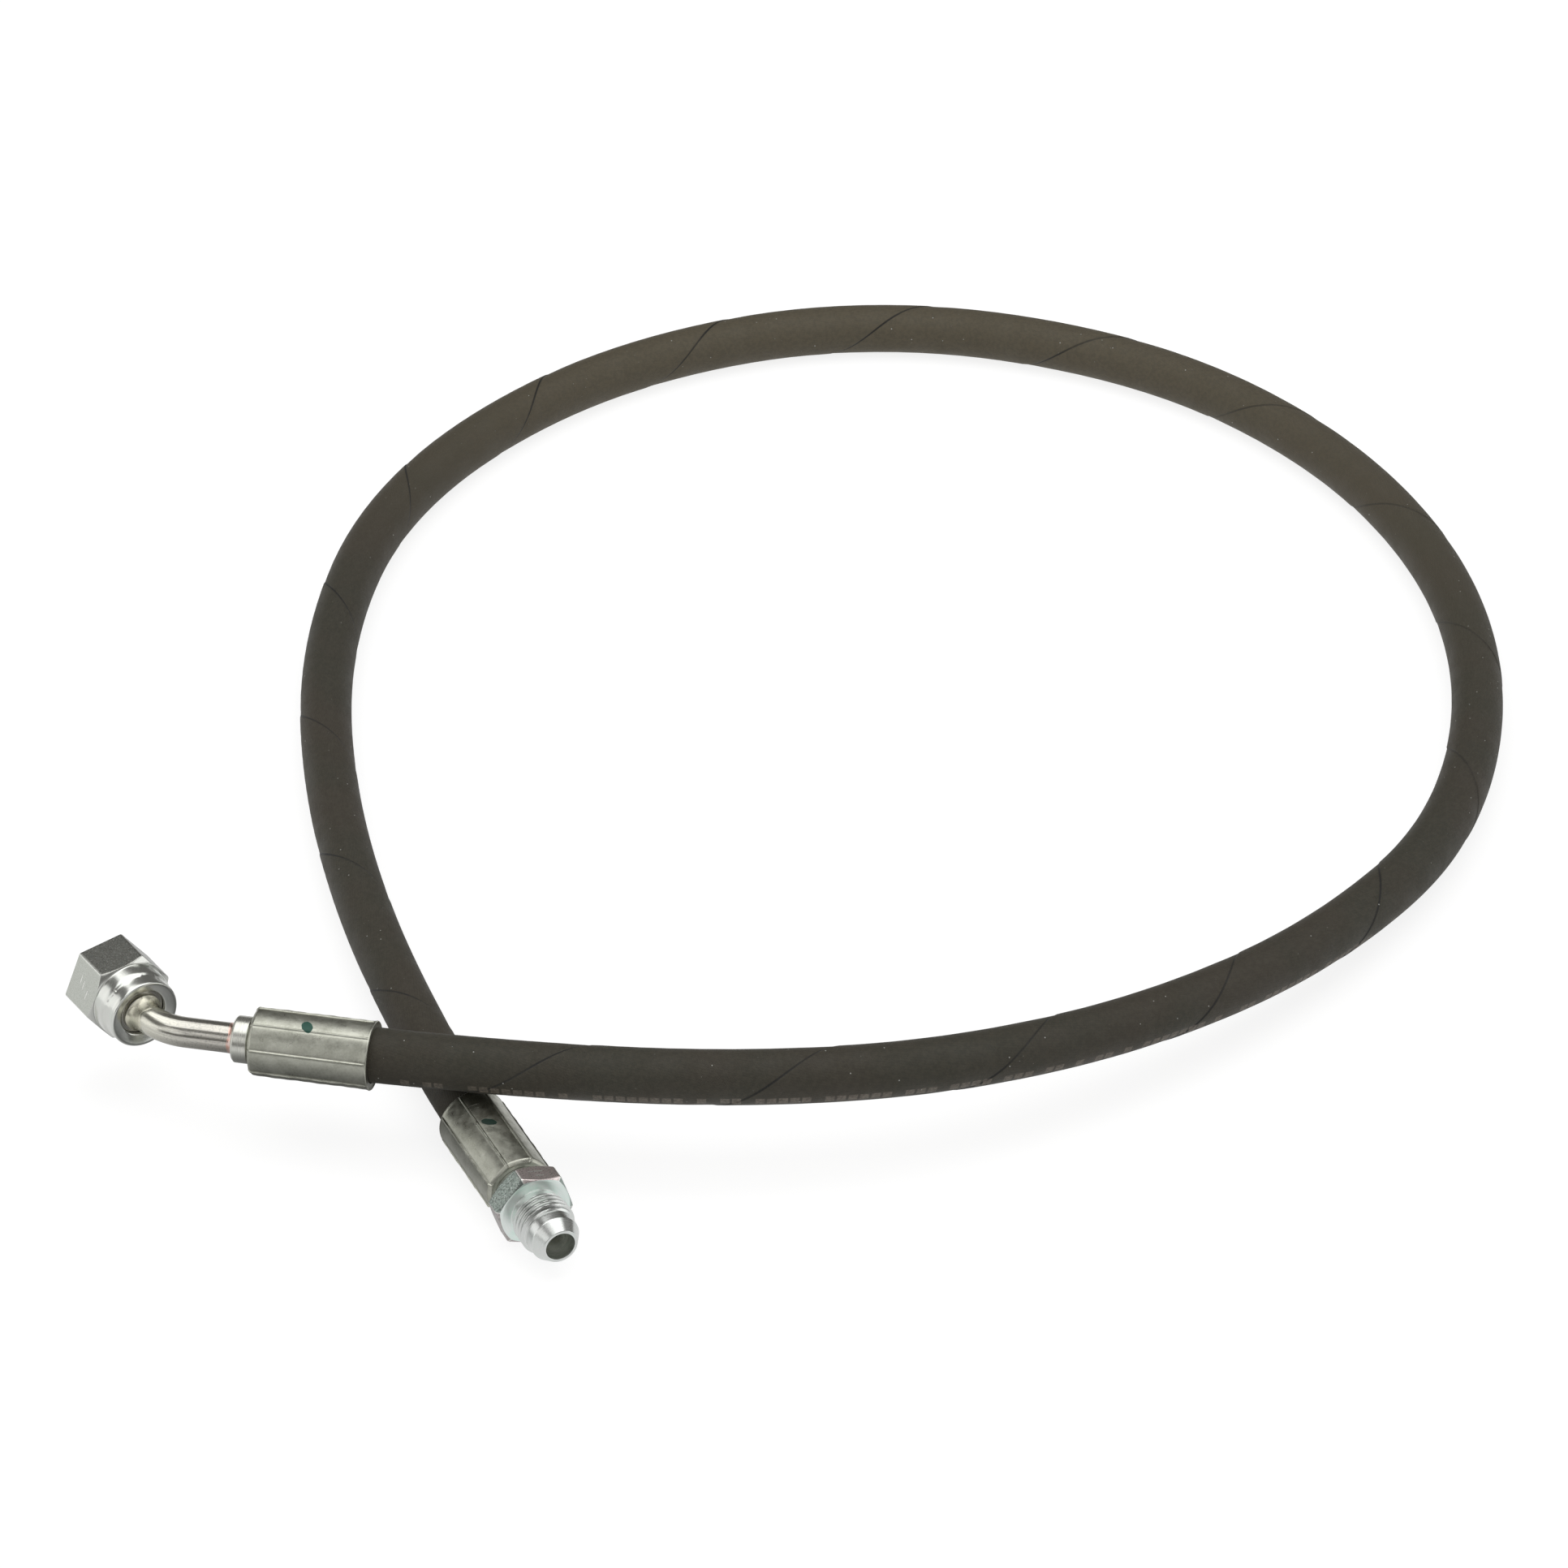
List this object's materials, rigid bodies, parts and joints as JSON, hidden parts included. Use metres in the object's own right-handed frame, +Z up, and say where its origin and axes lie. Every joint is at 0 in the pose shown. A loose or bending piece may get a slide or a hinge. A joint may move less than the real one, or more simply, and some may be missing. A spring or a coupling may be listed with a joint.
{
  "type": "hydraulic hose assembly",
  "caption": "Flexible hydraulic hose lying in one open loop, with a straight male cone fitting on one end and a bent tube elbow with a swivel nut on the other.",
  "frame": {"origin": "on the surface that the hose lies on, below the middle of the box round the two end fittings", "axes": "+Z up, +X along the long side of the box round the two end fittings, +Y towards the far side of the loop"},
  "size_m": [0.3618, 0.4267, 0.0355],
  "materials": {
    "hose_cover": "wrapped, matt",
    "hose_liner": "smooth",
    "wire_braid": "braided brassed wire",
    "zinc_ferrule": "dull zinc plate",
    "zinc_male": "passivated zinc plate",
    "zinc_collar": "turned, zinc plated",
    "zinc_nut": "bright zinc plate",
    "bright_tube": "bright drawn tube",
    "braze": "copper braze"
  },
  "bodies": {
    "hose_and_fittings": {"hose_inner_tube": "hose_liner", "hose_inner_wire_braid": "wire_braid", "hose_braid_interlayer": "hose_liner", "hose_outer_wire_braid": "wire_braid", "hose_cover": "hose_cover", "male_ferrule": "zinc_ferrule", "elbow_ferrule": "zinc_ferrule", "male_stem": "zinc_male", "elbow_stem": "zinc_collar", "elbow_tube": "bright_tube", "stem_braze_ring": "braze", "head_braze_ring": "braze", "swivel_head": "zinc_collar"},
    "swivel_nut": {"swivel_nut": "zinc_nut"}
  },
  "joints": [
    {"name": "nut_swivel", "type": "hinge", "parent": "hose_and_fittings", "child": "swivel_nut", "pos_m": [-0.04304, 0.02511, 0.025], "axis": [-0.5519, 0.8339, 0], "continuous": true}
  ]
}
